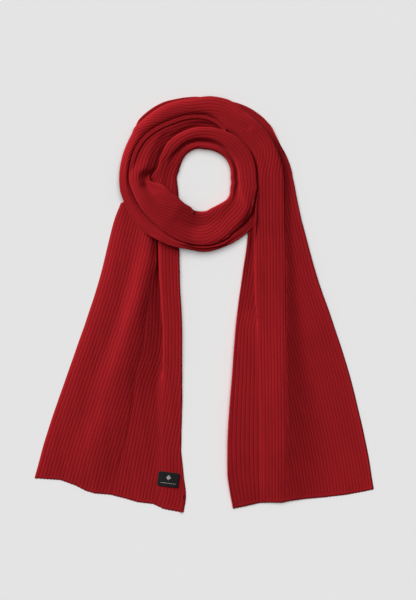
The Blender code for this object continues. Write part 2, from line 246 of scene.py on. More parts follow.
def ribReliefTree():
    # lifts a smooth cloth into ribs along its own rib numbers
    tree, given, result = newTree("ribRelief", "Geometry", {
        "Geometry": "Geometry", "Crest": "Float", "Groove": "Float", "Sharpness": "Float",
        "Finish": "Material"}, {"Geometry": "Geometry"})
    rib, gain, outward = (
        addNode(tree, "GeometryNodeInputNamedAttribute", {"Name": name}, data_type=kind).outputs[0]
        for name, kind in (("ribNumber", "FLOAT"), ("ribGain", "FLOAT"), ("outward", "FLOAT_VECTOR")))
    calc = partial(compute, tree)
    wave = calc("ABSOLUTE", calc("COSINE", calc("MULTIPLY", rib, math.pi)))
    full = calc("POWER", wave, given["Sharpness"])
    span = calc("ADD", given["Crest"], given["Groove"])
    height = calc("SUBTRACT", calc("MULTIPLY", full, span), given["Groove"])
    lift = addNode(tree, "ShaderNodeVectorMath", {0: outward, "Scale": calc("MULTIPLY", height, gain)},
                   operation="SCALE").outputs[0]
    moved = addNode(tree, "GeometryNodeSetPosition", {"Geometry": given["Geometry"], "Offset": lift})
    endTree(tree, moved.outputs[0], given["Finish"], result[0])
    return tree


def bakeModifier(obj, tree, values):
    # run the tree once, keep its result as a plain mesh and take the modifier off
    modifier = obj.modifiers.new(tree.name, "NODES")
    modifier.node_group = tree
    for item in tree.interface.items_tree:
        if item.in_out == "INPUT" and item.name in values:
            modifier[item.identifier] = values[item.name]
    graph = bpy.context.evaluated_depsgraph_get()
    mesh = bpy.data.meshes.new_from_object(obj.evaluated_get(graph), depsgraph=graph)
    obj.modifiers.remove(modifier)
    old = obj.data
    obj.data = mesh
    mesh.name = obj.name
    bpy.data.meshes.remove(old)


def newObject(name, points, edges, faces):
    mesh = bpy.data.meshes.new(name)
    mesh.from_pydata(points, edges, faces)
    mesh.update()
    obj = bpy.data.objects.new(name, mesh)
    scene.collection.objects.link(obj)
    return obj


def addUvs(mesh, name, uvs):
    # one pair for each vertex
    corners = np.zeros(len(mesh.loops), np.int32)
    mesh.loops.foreach_get("vertex_index", corners)
    mesh.uv_layers.new(name=name).data.foreach_set("uv", np.asarray(uvs, np.float32)[corners].ravel())


def hemShape(away, numbers):
    # height, rib strength and scallop of the rows this far from a hem
    ridge, ridgeAt, ridgeWidth = hemEdge["ridge"]
    curl, curlWidth = hemEdge["curl"]
    scallop, fade = hemEdge["scallop"]
    lift = ridge * math.exp(-((away - ridgeAt) / ridgeWidth) ** 2) - curl * max(0.0, curlWidth - away) ** 2
    strength = mix(hemEdge["ribsLeft"], 1.0, smooth(away, *hemEdge["ribsRise"]))
    return lift, strength, scallop * mm * math.exp(-away / fade) * np.abs(np.cos(math.pi * numbers))


def shellFaces(rowCount, count, skip):
    # quads of the top, of the coarser underside and of the long edges, and fans between the two at the ends
    underCount = (count - 1) // skip + 1
    topAt = lambda i, j: i * count + j
    lowAt = lambda i, j: rowCount * count + i * underCount + j
    faces = []
    for i in range(rowCount - 1):
        faces += [(topAt(i, j), topAt(i, j + 1), topAt(i + 1, j + 1), topAt(i + 1, j))
                  for j in range(count - 1)]
        faces += [(lowAt(i, j), lowAt(i + 1, j), lowAt(i + 1, j + 1), lowAt(i, j + 1))
                  for j in range(underCount - 1)]
        faces.append((topAt(i, 0), topAt(i + 1, 0), lowAt(i + 1, 0), lowAt(i, 0)))
        faces.append((topAt(i + 1, count - 1), topAt(i, count - 1), lowAt(i, underCount - 1),
                      lowAt(i + 1, underCount - 1)))
    for i, turned in ((0, False), (rowCount - 1, True)):
        for j in range(underCount - 1):
            a, b = lowAt(i, j), lowAt(i, j + 1)
            edge = [topAt(i, j * skip + k) for k in range(skip + 1)]
            fans = [(a, edge[k + 1], edge[k]) for k in range(skip // 2)] + [(a, b, edge[skip // 2])]
            fans += [(b, edge[k + 1], edge[k]) for k in range(skip // 2, skip)]
            faces += [face[::-1] for face in fans] if turned else fans
    return faces


def clothShell(relief, finish, name, rowAt, stations, piece, hem=None):
    rows = [rowAt(s) for s in stations]
    firstRib, lastRib = piece["ribs"]
    perRib = piece.get("perRib", knit["perRib"])
    numbers = np.linspace(firstRib, lastRib, (lastRib - firstRib) * perRib + 1)
    skip, thick, easy = perRib // knit["underPerRib"], knit["thickness"], knit["easyPitch"]
    rowCount, count = len(rows), len(numbers)
    probe, (lowest, lowestUnder) = knit["probe"], knit["lowest"]
    under = np.arange(0, count, skip)
    top, low, directions, gains, uvs = [], [], [], [], []
    for row in rows:
        s = row.station
        ways, marks = zip(*sorted(row.anchors))
        way = np.interp(numbers, marks, ways)
        pitch = np.gradient(way, numbers)
        reach, height = (np.interp(way, row.way, row.path[:, k]) for k in (0, 1))
        ahead = np.stack([np.interp(way + probe, row.way, line) - np.interp(way - probe, row.way, line)
                          for line in row.path.T], axis=-1)
        ahead /= np.maximum(np.linalg.norm(ahead, axis=1, keepdims=True), 1e-6)
        flat, up = -ahead[:, 1], ahead[:, 0]
        gain = np.clip(pitch / easy, knit["leastGain"], 1.0)
        gain *= np.clip((way - way[0]) / knit["edge"], 0, 1) * np.clip((way[-1] - way) / knit["edge"], 0, 1)
        lift = knit["wave"] * unevenness(numbers, s) * np.clip(pitch / easy, 0.0, 1.0)
        scallop = np.zeros((count, 3))
        if hem is not None:
            drop, strength, scallop[:, 1] = hemShape(abs(s - hem), numbers)
            lift = lift + drop
            gain = gain * strength
        reach, height = reach + flat * lift, height + up * lift
        top.append(place(row, reach, np.maximum(height, lowest)) - scallop)
        inside = np.maximum((height - up * thick)[under], lowestUnder)
        low.append(place(row, (reach - flat * thick)[under], inside) - scallop[under])
        outX, outY = outwards(s)
        directions.append(np.stack([flat * outX, flat * outY, up], axis=-1))
        gains.append(gain * mm)
        uvs.append(np.stack([numbers, np.full(count, runOf(s) / knit["course"])], axis=-1))
    points = np.vstack([np.reshape(top, (-1, 3)), np.reshape(low, (-1, 3))])
    obj = newObject(name, points.tolist(), [], shellFaces(rowCount, count, skip))
    spare = rowCount * len(under)
    for key, kind, field, values, width in (
            ("ribNumber", "FLOAT", "value", np.tile(numbers, rowCount), 1),
            ("ribGain", "FLOAT", "value", gains, 1), ("outward", "FLOAT_VECTOR", "vector", directions, 3)):
        filled = np.concatenate([np.ravel(values), np.zeros(spare * width)]).astype(np.float32)
        obj.data.attributes.new(key, kind, "POINT").data.foreach_set(field, filled)
    uvs = np.array(uvs)
    addUvs(obj.data, "stitches", np.vstack([uvs.reshape(-1, 2), uvs[:, under].reshape(-1, 2)]))
    bakeModifier(obj, relief, {**knit["relief"], "Finish": finish})
    for key in ("ribNumber", "ribGain", "outward"):
        obj.data.attributes.remove(obj.data.attributes[key])
    obj.data.shade_smooth()
    obj.data.set_sharp_from_angle(angle=math.radians(75))
    print(name, "cloth:", rowCount, "rows,", count, "columns,", len(obj.data.polygons), "faces")
    return obj


# The outer strand: the right tail and the outer fold of the turn. Inwards to outwards it has an edge, a step
# up, a rounded top and a crease, beyond which it lies as a lower panel. The step and the crease are a layer
# folded down over the next (shut), or open, with a flank that eases down.
rightTail = {
    "pitch": 5.4,
    "ribs": (0, 46),
    "inner": {-562: 47, -530: 41, -500: 37.5, -460: 37.5, -420: 39, -340: 45, -260: 51, -180: 61,
        -105: 71.5, -75: 74},
    "step": {-562: 97, -430: 95, -340: 91, -240: 87, -205: 84, -140: 83, -105: 83, -75: 84},
    "crease": {-562: 139, -460: 139, -340: 138, -230: 137, -140: 137, -75: 135.5},
    "outer": {-562: 286.7, -500: 277.5, -420: 261.5, -340: 242.5, -260: 218.5, -180: 192, -140: 181,
        -105: 172, -75: 164},
    "edgeTop": {-562: 5, -514: 9.2, -462: 12.1, -400: 12.7, -310: 11.6, -259: 10.3, -220: 7.5, -180: 6.6,
        -130: 7.4, -95: 8.6, -75: 10},
    "foot": {-562: 5, -514: 9, -462: 11.7, -412: 12, -361: 11.5, -310: 10.6, -259: 9.2, -220: 6.2,
        -150: 5.4, -115: 6, -95: 7.6, -75: 9.8},
    "stepTop": {-562: 5.6, -514: 10.2, -462: 12.9, -412: 13.1, -361: 12.4, -310: 11.5, -259: 10.6,
        -208: 10.6, -140: 10.4, -110: 10.6, -75: 12.2},
    "stepPleat": {-562: 3, -245: 3, -205: 8, -150: 8, -110: 4, -75: 3.5},
    "crown": 0.3,
    "shoulder": {-562: 0.3, -514: 0.6, -200: 0.6, -75: 1},  # from the rounded top down to the crease
    "lift": {-562: 3.6, -514: 7, -462: 9.4, -412: 9.8, -361: 9.6, -310: 8.5, -259: 6.8, -208: 5, -174: 4,
        -106: 3, -75: 2.8},  # of the crease over the panel
    "slope": {-562: 66, -514: 68, -462: 66, -412: 57, -361: 45, -310: 36, -259: 30, -208: 23, -174: 19,
        -106: 13, -75: 11},
    "level": {-562: 3.1, -514: 3.4, -440: 3.6, -361: 4, -259: 5.2, -200: 6.3, -75: 8.4},
    "roll": {-562: 7, -460: 8, -360: 8, -260: 7, -180: 5, -110: 3.6, -75: 3.4},
    "stepOpens": (-195, -310),
    "ribAtCrease": {-562: 16.9, -75: 17.2},
    "pleat": 10,
    "seat": 0,
}

outerLoop = {
    "pitch": 5.6,
    "ribs": (-8, 30),
    "inner": {-75: 74, -46: 76.5, -20: 82, 0: 83, 30: 84, 45: 82.5, 62: 82, 66: 83, 72: 87, 80: 93, 90: 98,
        105: 102, 120: 107, 135: 113.5, 150: 120, 165: 122.5, 180: 123, 195: 118, 210: 113.5, 225: 111,
        255: 111, 285: 107, 300: 98, 318: 94, 325: 97.5},
    "stepIn": {-75: 10, -46: 8.5, -20: 6.5, 60: 6.5, 75: 8, 90: 9, 105: 8.5, 120: 7, 150: 7.2, 180: 7.5,
        210: 6.8, 318: 6.5},  # from the edge to the step
    "crease": {-75: 135.5, 0: 135, 15: 133.5, 30: 132, 45: 131, 58: 131, 66: 135, 75: 138, 85: 138.4,
        95: 136.8, 101: 136.5, 110: 138.5, 120: 141.5, 130: 142.8, 138: 144.6, 145: 147, 150: 144.5,
        165: 145, 187: 146, 203: 142, 219: 140, 232: 134, 244: 130, 258: 125.5, 268: 126.5, 286: 122,
        318: 116},
    "outer": {-75: 164, -40: 157, 0: 149, 15: 143, 25: 139.5, 43: 142, 55: 140.8, 66: 138.5, 75: 136,
        90: 136, 95: 138.5, 101: 140, 110: 142.8, 120: 147.2, 130: 149.2, 138: 150, 145: 146, 153: 138,
        187: 139, 219: 133, 258: 120, 286: 116, 318: 110},
    "shelf": {-75: 9.8, -45: 9.6, -10: 10.2, 20: 10.4, 45: 10, 66: 8.6, 90: 8.8, 105: 10, 120: 11.5,
        135: 12.3, 150: 12.6, 165: 12.3, 180: 12, 200: 12, 222: 14, 236: 16.2, 250: 15.5, 262: 13.4,
        275: 12.6, 300: 10.6, 310: 9.4, 318: 7},
    "crown": {-75: 12.2, -20: 12.6, 30: 13.4, 60: 13.8, 75: 14, 90: 14, 105: 14.6, 120: 15.2, 135: 15.6,
        150: 15.4, 165: 15.2, 180: 15.3, 200: 16, 222: 18.5, 236: 20, 250: 18.4, 264: 16, 285: 14.6,
        300: 13, 310: 11, 318: 8},
    "top": {-75: 12.2, 0: 12.8, 30: 15.4, 45: 16, 60: 14.5, 75: 12.6, 90: 13, 105: 14, 120: 14.7, 135: 15,
        150: 14.6, 165: 14.4, 180: 14.6, 200: 15.5, 222: 18, 236: 19.5, 250: 18, 264: 15.2, 285: 13.8,
        300: 12.2, 310: 10.4, 318: 7.5},
    "pleat": {-75: 20, -20: 14, 20: 10, 240: 10, 262: 6, 318: 6},
    "lift": {-75: 2.8, 0: 2.4, 25: 1.8, 55: 0.5},
    "slope": {-75: 11, 0: 8, 30: 4, 60: 4},
    "level": {-75: 8.4, 0: 7.6, 30: 5.5, 90: 5, 165: 5, 180: 8.5, 200: 10, 222: 13, 236: 16, 250: 15.5,
        264: 11, 285: 9.5, 300: 8, 318: 4},
    "seat": {-75: 0, 164: 0, 172: 5, 200: 7, 222: 10, 236: 13, 250: 13, 262: 4, 272: 0},
    "roll": {-75: 3.4, 0: 3.4, 30: 4, 50: 6.5, 66: 9.5, 80: 10, 105: 9, 120: 8.5, 165: 8.5, 200: 8, 318: 5},
    "stepOpens": (-45, -5),
    "creaseShuts": (35, 66),
    "ribAtCrease": {-75: 17.2, 0: 17.2, 30: 14.2, 100: 14.2, 140: 5.3, 180: -2.7, 318: -2.7},
    "stepPleat": 3.5,
}


def outerStrandRow(s, onTail=False):
    at = valuesAt(rightTail if onTail else outerLoop, s)
    sink, over = knit["sink"], knit["fold"]
    inner, crease, outer, seat, roll, pleat = at.inner, at.crease, at.outer, at.seat, at.roll, at.pleat
    level = at.level - sink
    if onTail:
        step = at.step
        edge, foot, stepTop = at.edgeTop - sink, at.foot - sink, at.stepTop - sink
        creaseTop = level + at.lift + at.shoulder
        crowns = (mix(stepTop, creaseTop, 0.35) + at.crown, mix(stepTop, creaseTop, 0.7) + at.crown)
    else:
        step = inner + at.stepIn
        edge = mix(9.2, at.shelf - sink, smooth(s, rightSeam, -50))
        foot, stepTop, creaseTop = at.shelf - sink, mix(at.shelf, at.crown, 0.9) + 0.1 - sink, at.top - sink
        crowns = (at.crown - sink, mix(at.crown, at.top, 0.6) + 0.2 - sink)
    low = mix(knit["thickness"] + 0.1, level, smooth(s, rightSeam, 30))
    onLow = low + over
    stepOpen = smooth(s, *at.stepOpens)
    creaseOpen = 1 - smooth(s, *outerLoop["creaseShuts"])
    pitch = mix(rightTail["pitch"], outerLoop["pitch"], smooth(s, rightSeam, 0))
    start = inner + mix(0.8, 1.5, smooth(s, rightSeam, -45))
    wall = [(inner + 0.3, seat + 0.5), (inner, mix(seat + 0.5, edge, 0.45)), (start, edge)]
    dip = max(step - 4, mix(start, step, 0.4))
    rim = (min(start + 3, mix(start, dip, 0.5)), mix(edge, foot, 0.15))
    rise = stepTop - foot
    pleatEnd = step + at.stepPleat
    shut = [rim, (dip, foot), (step + 0.5 * at.stepPleat, foot), (pleatEnd, foot + 0.3),
            (pleatEnd, foot + over - 0.3), (step + min(3, 0.5 * at.stepPleat), foot + over),
            (step, mix(foot + over, stepTop, 0.5)), (step + 3, stepTop)]
    body = max(mix(step, crease - roll, 1.0 if roll > 6 else 0.85), step + 5)
    spread = [rim, (dip, foot + 0.02 * rise), (mix(dip, step, 0.4), foot + 0.08 * rise),
              (mix(dip, step, 0.7), foot + 0.22 * rise), (step, foot + 0.45 * rise),
              (min(step + 1.5, mix(step, body, 0.12)), foot + 0.66 * rise),
              (mix(step, body, 0.24) if body < step + 12 else step + 3, foot + 0.85 * rise),
              (min(step + 6, mix(step, body, 0.45)), stepTop)]
    middle = [(mix(step + 3, body, 0.5), crowns[0]), (mix(step + 3, body, 0.75), crowns[1])]
    bottom = seat + 0.5
    tuck = crease - pleat
    free = outer - tuck
    soft = max(0.0, roll - 2.5) / 11.5      # a wide roll has a rounder side
    folded = [(crease - roll, creaseTop),
              (crease - 0.8 - 3.4 * soft, mix(onLow, creaseTop, 0.8 - 0.18 * soft)),
              (crease, mix(onLow, creaseTop, 0.45 - 0.22 * soft)), (crease - min(3, 0.4 * pleat), onLow),
              (tuck, onLow - 0.3), (tuck, low + 0.3), (min(crease + 0.5, tuck + 0.35 * free), low),
              (min(crease + 5, tuck + 0.5 * free), low)]
    begin = folded[-1][0]
    rest = outer - begin
    folded += [(begin + k * rest, low) for k in (0.05, 0.1, 0.15, 0.2, 0.4, 0.6, 0.75)]
    folded += [(outer - min(1.6, 0.08 * rest + 0.1), low), (outer, mix(bottom, low, 0.45)),
               (outer - 0.3, bottom)]
    lift, slope = at.lift, min(at.slope, 0.72 * (outer - crease))
    ledge = level + lift
    edgeIn = min(16, 0.3 * (outer - crease))
    flank = crease + 1.2
    easing = [(crease - roll, creaseTop), (crease - 0.66 * roll, mix(creaseTop, ledge, 0.1)),
              (crease - 0.36 * roll, mix(creaseTop, ledge, 0.36)),
              (crease - 0.8, mix(creaseTop, ledge, 0.84)), (flank, ledge)]
    easing += [(flank + k * slope, level + lift * h) for k, h in (
        (0.1, 0.87), (0.22, 0.71), (0.36, 0.52), (0.51, 0.33), (0.67, 0.16), (0.83, 0.05), (1.0, 0.0))]
    easing += [(mix(flank + slope, outer - edgeIn, 0.55), level), (outer - edgeIn, level - 0.05),
               (outer - 0.45 * edgeIn, level + 0.15), (outer - 1.7, level + 0.6),
               (outer, mix(bottom, level, 0.5)), (outer - 0.3, bottom)]
    row = Row(s, wall + blend(shut, spread, stepOpen) + middle + blend(folded, easing, creaseOpen), pitch)
    # points: 0 start, 4 dip, 9 the step's edge, 15 or 16 the crease's edge, 17 or 20 just out of it, 30 end
    creaseAt, outAt = mix(15, 16, creaseOpen), mix(20, 17, creaseOpen)
    ribCrease, ribEnd = at.ribAtCrease, float(at.ribs[1])
    ribStep = ribCrease - row.ribsIn(9, creaseAt)
    fromEdge = row.ribsIn(0, 4)
    ribDip = min(fromEdge, ribStep - 0.5)
    if onTail:
        even = ribStep * row.wayOf(4) / row.wayOf(9)
        row.pin({0: 0.0, 4: mix(ribDip, even, stepOpen)})
    else:
        through = max(ribStep - row.ribsIn(4, 9), -7.5)
        t = smooth(s, -45, -10)
        ribDip = mix(ribDip, through, t)
        row.pin({0: -8.0, 4: ribDip})
        row.pin({0: mix(0.0, max(ribDip - fromEdge, -7.9), t)}, 0.3)
    least = ribCrease + mix(0.4, 0.9, creaseOpen) * row.ribsIn(creaseAt, outAt)
    row.pin({9: ribStep, creaseAt: ribCrease, outAt: max(ribEnd - row.ribsIn(outAt, 30), least), 30: ribEnd})
    return row


# The inner strand: the fold that crosses the front, and the second pass of the turn.
frontLoop = {
    "inner": {66: 83.5, 90: 83.5, 105: 84, 135: 85, 150: 83, 165: 80, 172: 85, 179: 96, 183: 95, 190: 76,
        195: 68, 205: 62, 216: 57, 243: 56, 252: 59, 270: 57, 285: 52, 300: 51, 315: 52, 330: 50, 348: 45},
    "fold": {66: 90, 72: 94, 80: 99.5, 90: 105, 105: 109, 120: 112, 135: 119, 150: 126, 165: 128.5,
        180: 129, 195: 124, 210: 119, 225: 116, 255: 116, 270: 115.5, 285: 112, 300: 104.5, 315: 101.5,
        330: 97, 348: 90.5},
    "pocket": {66: 90, 120: 92, 135: 95, 150: 90, 165: 89, 177: 91, 185: 100, 191: 102, 205: 97, 216: 89,
        240: 84, 257: 86, 270: 81, 290: 76, 315: 66, 330: 61, 348: 58},
    "pocketHeight": {66: 5.5, 90: 8, 105: 10.4, 120: 13, 135: 12.8, 150: 13.2, 165: 13.4, 177: 13.4,
        185: 14, 191: 15.5, 200: 18.5, 216: 20, 228: 19.5, 240: 17, 262: 13, 275: 13.6, 290: 14, 315: 13.6,
        330: 12, 348: 10.4},
    "crestAt": {66: 0.5, 150: 0.4, 165: 0.33, 180: 0.48, 205: 0.5, 225: 0.6, 245: 0.8, 285: 0.8, 315: 0.7,
        348: 0.7},
    "top": {66: 7, 75: 9.5, 90: 11, 105: 12.5, 120: 14.2, 135: 15, 150: 15.8, 165: 16.6, 180: 18.6, 205: 22,
        225: 22, 243: 20, 262: 17.4, 280: 17, 300: 15.4, 330: 15.4, 348: 16},
    "fall": {66: 0.3, 130: 0.6, 150: 1.5, 165: 2.4, 180: 1.2, 205: 0.8, 225: 0.6, 280: 0.8, 300: 2,
        318: 2.8, 348: 2},  # from the crest to the fold
    "innerTop": {66: 6, 90: 8, 105: 9.5, 120: 11, 150: 12, 170: 11.5, 176: 12, 181: 13.6, 187: 17,
        205: 20.5, 225: 20.5, 240: 18.5, 262: 14.5, 275: 14.2, 300: 14, 348: 12.6},
    "seat": {66: 0, 160: 0, 172: 5, 183: 11.5, 235: 13, 250: 13, 262: 6, 275: 0},
    "under": {66: 4, 80: 14, 188: 14, 196: -7, 348: -7},  # how far the hidden edge runs inwards
    "clear": {300: 0, 318: 8.6, 330: 9.9, 348: 10.6},  # height over the outer strand's end
    "deep": {66: 1, 120: 1.5, 150: 4, 190: 5},  # height of the hidden edge
}

innerLoop = {
    "ribs": (0, 22),
    "perRib": 10,
    "inner": {348: 45, 360: 43, 375: 44.5, 405: 47, 450: 47.5, 465: 50.5, 480: 51, 495: 49.5, 510: 47,
        525: 46, 540: 48, 560: 46, 584: 44},
    "trough": {348: 57, 360: 54.5, 390: 56, 405: 57, 420: 59, 435: 60.5, 450: 62, 465: 64, 480: 65,
        495: 64.5, 510: 65, 525: 64, 540: 66, 584: 70},
    "fold": {348: 90.5, 360: 87, 390: 88.5, 405: 87, 450: 85.3, 465: 86.2, 495: 86.6, 510: 84, 525: 83,
        534: 89, 542: 96, 552: 106, 584: 142},
    "top": {348: 14.4, 390: 14.6, 420: 15.6, 450: 15.8, 495: 15.4, 510: 13.6, 522: 12, 540: 11.5, 584: 11},
    "foldTop": {348: 15, 375: 15.3, 405: 16, 450: 16, 480: 15, 495: 14.6, 510: 13.2, 522: 12, 534: 11.5,
        540: 10.5, 547: 7.5, 556: 5, 584: 3.6},
    "band": {348: 12.6, 390: 12.8, 450: 13.4, 495: 12.3, 510: 11.5, 525: 10.5, 584: 9.5},
    "dip": {348: 10.2, 390: 10, 420: 9.5, 450: 9, 465: 10, 480: 11.5, 495: 11.8, 525: 11, 584: 10},
    "seat": {348: 10.6, 372: 10.8, 405: 10, 430: 7.5, 470: 7.5, 495: 9.8, 516: 9.3, 528: 0},
    "ribAtFold": {66: 12, 183: 12, 190: 13, 200: 14.5, 210: 15.9, 220: 17.3, 230: 18.4, 240: 18.8,
        262: 18.6, 270: 18.8, 285: 20, 300: 20.6, 315: 20.6, 333: 20.4, 584: 20.4},
    "lastEdge": 12.2,  # rib along the hole beyond the turn
    "blend": (322, 348),  # where the front's form becomes the second pass's
    "leaves": (505, 528),  # where the strand leaves the turn
}


def frontPoints(s):
    at = valuesAt(frontLoop, s)
    inner, fold, top, innerTop, sink = at.inner, at.fold, at.top, at.innerTop, knit["sink"]
    margin = max(ease(outerLoop["shelf"], s), at.clear) + 0.3
    dip = max(min(at.pocket, mix(inner, fold, 0.5)), inner + 6.3)
    dipHeight = min(at.pocketHeight, mix(innerTop, top, 0.5))
    crestAt, shoulder = at.crestAt, max(top - at.fall - sink, margin + 1.6)
    low, under = at.seat + 1.2, smooth(at.under, -7, 14)
    return [
        (mix(inner + 7, inner - 14, under), mix(low, at.deep, under)),
        (mix(inner + 1.2, inner - 5, under), mix(low, at.deep + 0.6, under)),
        (inner - 1.2 * under, mix(low, innerTop - sink, 0.5)),
        (inner + 1.5, innerTop - 1 - sink), (inner + 5, innerTop - sink),
        (mix(inner + 5, dip, 0.6), mix(innerTop, dipHeight, 0.6) - sink), (dip, dipHeight - sink),
        (mix(dip, fold, 0.45 * crestAt), mix(dipHeight, top, 0.5) - sink),
        (mix(dip, fold, 0.75 * crestAt), mix(dipHeight, top, 0.86) - sink),
        (mix(dip, fold, crestAt), top - sink),
        (mix(dip, fold, mix(crestAt, 1.0, 0.5)), top - 0.45 * at.fall - sink),
        (fold - 2, mix(margin + 1, shoulder, 0.82)), (fold, mix(margin + 1, shoulder, 0.42)),
        (fold - 1.5, margin + 0.9), (fold - 6, margin + 0.9),
    ]


def innerPoints(s):
    at = valuesAt(innerLoop, s)
    inner, trough, fold, top, sink = at.inner, at.trough, at.fold, at.top, knit["sink"]
    band, dip, seat, foldTop = at.band, at.dip, at.seat, at.foldTop
    return [
        (inner + 7, 1.2), (inner + 1.2, 1.2), (inner, 0.5 * (band - sink)),
        (inner + 1.5, band - 1 - sink), (inner + 4.5, band - sink),
        (mix(inner + 4.5, trough, 0.5), mix(band, dip, 0.3) - sink), (trough - 0.5, dip - sink),
        (trough + 2, mix(dip, top, 0.35) - sink), (trough + 4.5, mix(dip, top, 0.85) - sink),
        (trough + 8.5, top - sink), (mix(trough + 8.5, fold, 0.6), mix(top, foldTop, 0.66) + 0.2 - sink),
        (fold - 1.6, mix(seat + 1, foldTop - sink, 0.86)), (fold, mix(seat + 1, foldTop - sink, 0.42)),
        (fold - 1.5, seat + 0.9), (fold - 6, seat + 0.9),
    ]


def innerStrandRow(s):
    # points: 1 and 2 the edge beside the hole, 12 the fold, 14 end
    t = smooth(s, *innerLoop["blend"])
    row = Row(s, blend(frontPoints(s), innerPoints(s), t), outerLoop["pitch"])
    lastRib, ribFold = float(innerLoop["ribs"][1]), ease(innerLoop["ribAtFold"], s)
    ribEdge = mix(max(ribFold - row.ribsIn(2, 12), 0.6), innerLoop["lastEdge"],
                  smooth(s, *innerLoop["leaves"]))
    if s > innerLoop["leaves"][0]:
        ribFold = min(ribEdge + row.ribsIn(2, 12), lastRib - 0.5)
    row.pin({0: 0.0, 1: max(ribEdge - row.ribsIn(1, 2), 0.3), 2: ribEdge, 12: ribFold, 14: lastRib})
    return row


# The left tail: its inner side is folded over on top, and its outer side lies on the middle.
leftTail = {
    "pitch": 5.75,
    "ribs": (0, 46),
    "inner": {584: 44, 645: 44, 720: 42.5, 800: 39, 920: 39, 1000: 40.5, 1040: 37, 1080: 32.5, 1109: 36.5},
    "fold": {584: 79, 647: 79.5, 690: 78.5, 755: 75, 818: 71.5, 904: 72, 1109: 74},
    "border": {584: 79.5, 648: 81.6, 687: 88.4, 752: 103.7, 811: 115.6, 879: 132.6, 957: 139.4, 1038: 156.4,
        1109: 172},
    "bank": {584: 113, 620: 116, 662: 120, 705: 129, 747: 138, 790: 150, 832: 163, 875: 177, 917: 193,
        960: 203, 1002: 216, 1045: 229, 1109: 243},
    "outer": {584: 143, 610: 153, 645: 162, 720: 179, 800: 202, 880: 227, 960: 251.5, 1040: 274, 1109: 290},
    "hemTop": {584: 10.4, 840: 10.2, 875: 8.4, 917: 6.2, 960: 5, 1000: 4.2, 1109: 3.2},
    "foldTop": {584: 10.4, 830: 9.2, 875: 6.9, 917: 4.9, 960: 4, 1109: 3.4},
    "foldPleat": {584: 16, 700: 16, 818: 13, 900: 6, 940: 3, 1109: 3},
    "foldOpens": (835, 905),
    "layerTop": {584: 8, 662: 9.8, 705: 11.1, 747: 12, 790: 12.9, 832: 12.1, 875: 11.4, 917: 9.7, 960: 8.3,
        1002: 8.1, 1045: 7.4, 1109: 3.4},
    "layerFlank": {584: 3, 662: 4, 705: 5, 747: 9, 790: 12, 832: 16, 875: 17, 917: 15, 960: 11, 1045: 13,
        1109: 10},  # from the border to its toe
    "layerCrest": {584: 11, 705: 11.5, 747: 9.5, 790: 12, 832: 13, 875: 12, 917: 17, 960: 24, 1002: 31,
        1045: 31, 1109: 36},  # and to its crest
    "plain": {584: 4, 640: 6.2, 747: 6.8, 832: 6.2, 875: 5.8, 917: 5.2, 1002: 4.9, 1045: 4.4, 1109: 3.1},
    "tilt": {584: 2, 662: 3.4, 705: 4.6, 747: 5, 832: 5.6, 875: 5, 917: 3.3, 960: 2.7, 1002: 2.3, 1045: 1.5,
        1109: 0.3},  # of the middle
    "ribAtEdge": {584: 6, 860: 6, 935: 4.5, 1025: 2, 1109: 0.6},
    "ribAtFoot": {584: 20.5, 650: 20, 750: 18.5, 850: 16.6, 935: 13.8, 1025: 11, 1109: 8.6},
}


